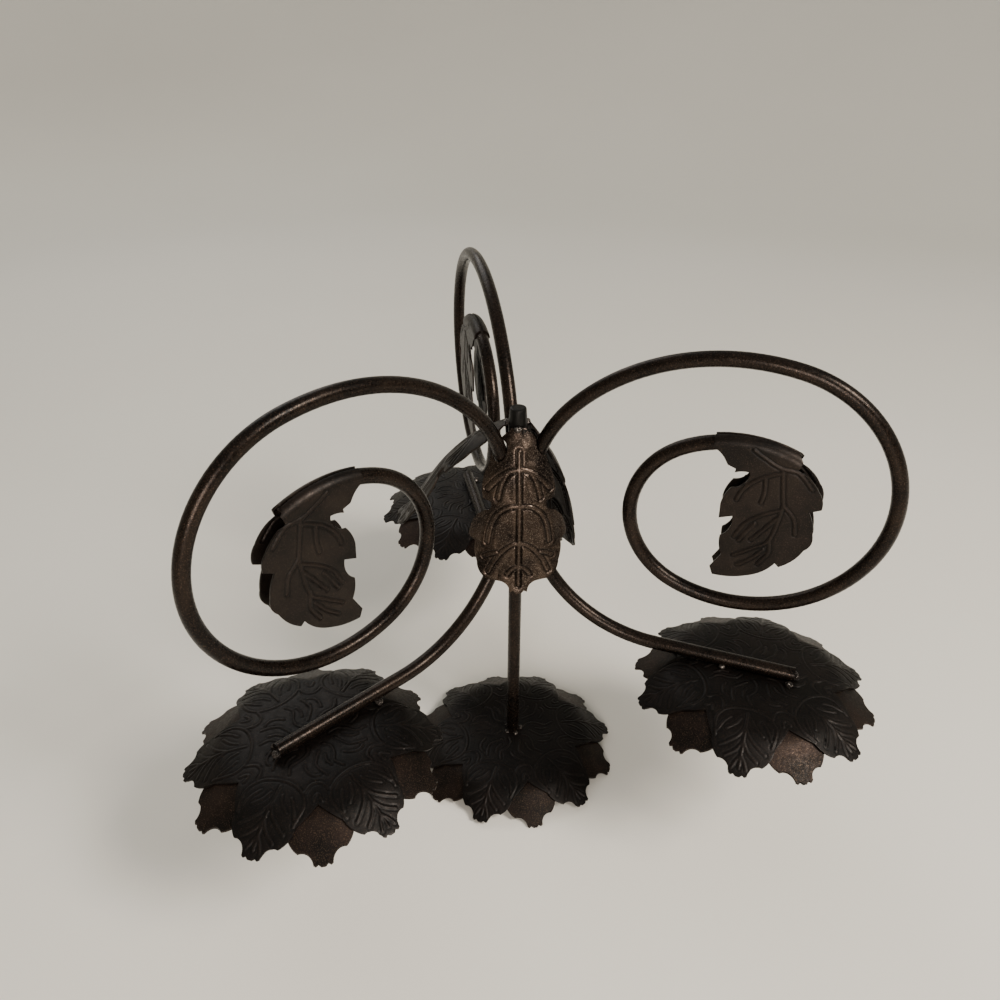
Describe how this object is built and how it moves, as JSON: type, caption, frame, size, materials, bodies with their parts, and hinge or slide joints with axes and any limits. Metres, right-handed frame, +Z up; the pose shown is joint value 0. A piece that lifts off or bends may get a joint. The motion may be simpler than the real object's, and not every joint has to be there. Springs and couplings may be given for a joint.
{
  "type": "tiered candle holder",
  "caption": "Candle holder of bent rod: a centre dish and lower outer dishes with leaf-lobed rims on scroll arms that are its feet, stored upturned.",
  "frame": {"origin": "centre of the centre dish's candle seat, on the centre rod's axis", "axes": "+Z up in the stored pose, which is upturned: along the centre rod from the centre dish to the scrolls, and down in use; +Y towards the back arm"},
  "size_m": [0.2913, 0.2702, 0.2312],
  "materials": {
    "bronze_rod": "hammered antique bronze paint",
    "dark_collar": "hammered antique bronze paint",
    "bronze_leaf": "hammered antique bronze paint",
    "bronze_hub_leaf": "hammered antique bronze paint",
    "plain_plate": "hammered antique bronze paint",
    "veined_plate": "hammered antique bronze paint"
  },
  "bodies": {
    "root": {"centre_rod": "bronze_rod", "top_collar": "dark_collar", "scroll_arm_back": "bronze_rod", "scroll_arm_left": "bronze_rod", "scroll_arm_right": "bronze_rod", "scroll_leaf_back_a": "bronze_leaf", "scroll_leaf_back_b": "bronze_leaf", "scroll_leaf_left_a": "bronze_leaf", "scroll_leaf_left_b": "bronze_leaf", "scroll_leaf_right_a": "bronze_leaf", "scroll_leaf_right_b": "bronze_leaf", "hub_leaf_front": "bronze_hub_leaf", "hub_leaf_left": "bronze_hub_leaf", "hub_leaf_right": "bronze_hub_leaf", "seat_plate_centre": "plain_plate", "seat_plate_back": "plain_plate", "seat_plate_left": "plain_plate", "seat_plate_right": "plain_plate", "leaf_plate_centre": "veined_plate", "leaf_plate_back": "veined_plate", "leaf_plate_left": "veined_plate", "leaf_plate_right": "veined_plate"}
  },
  "joints": []
}
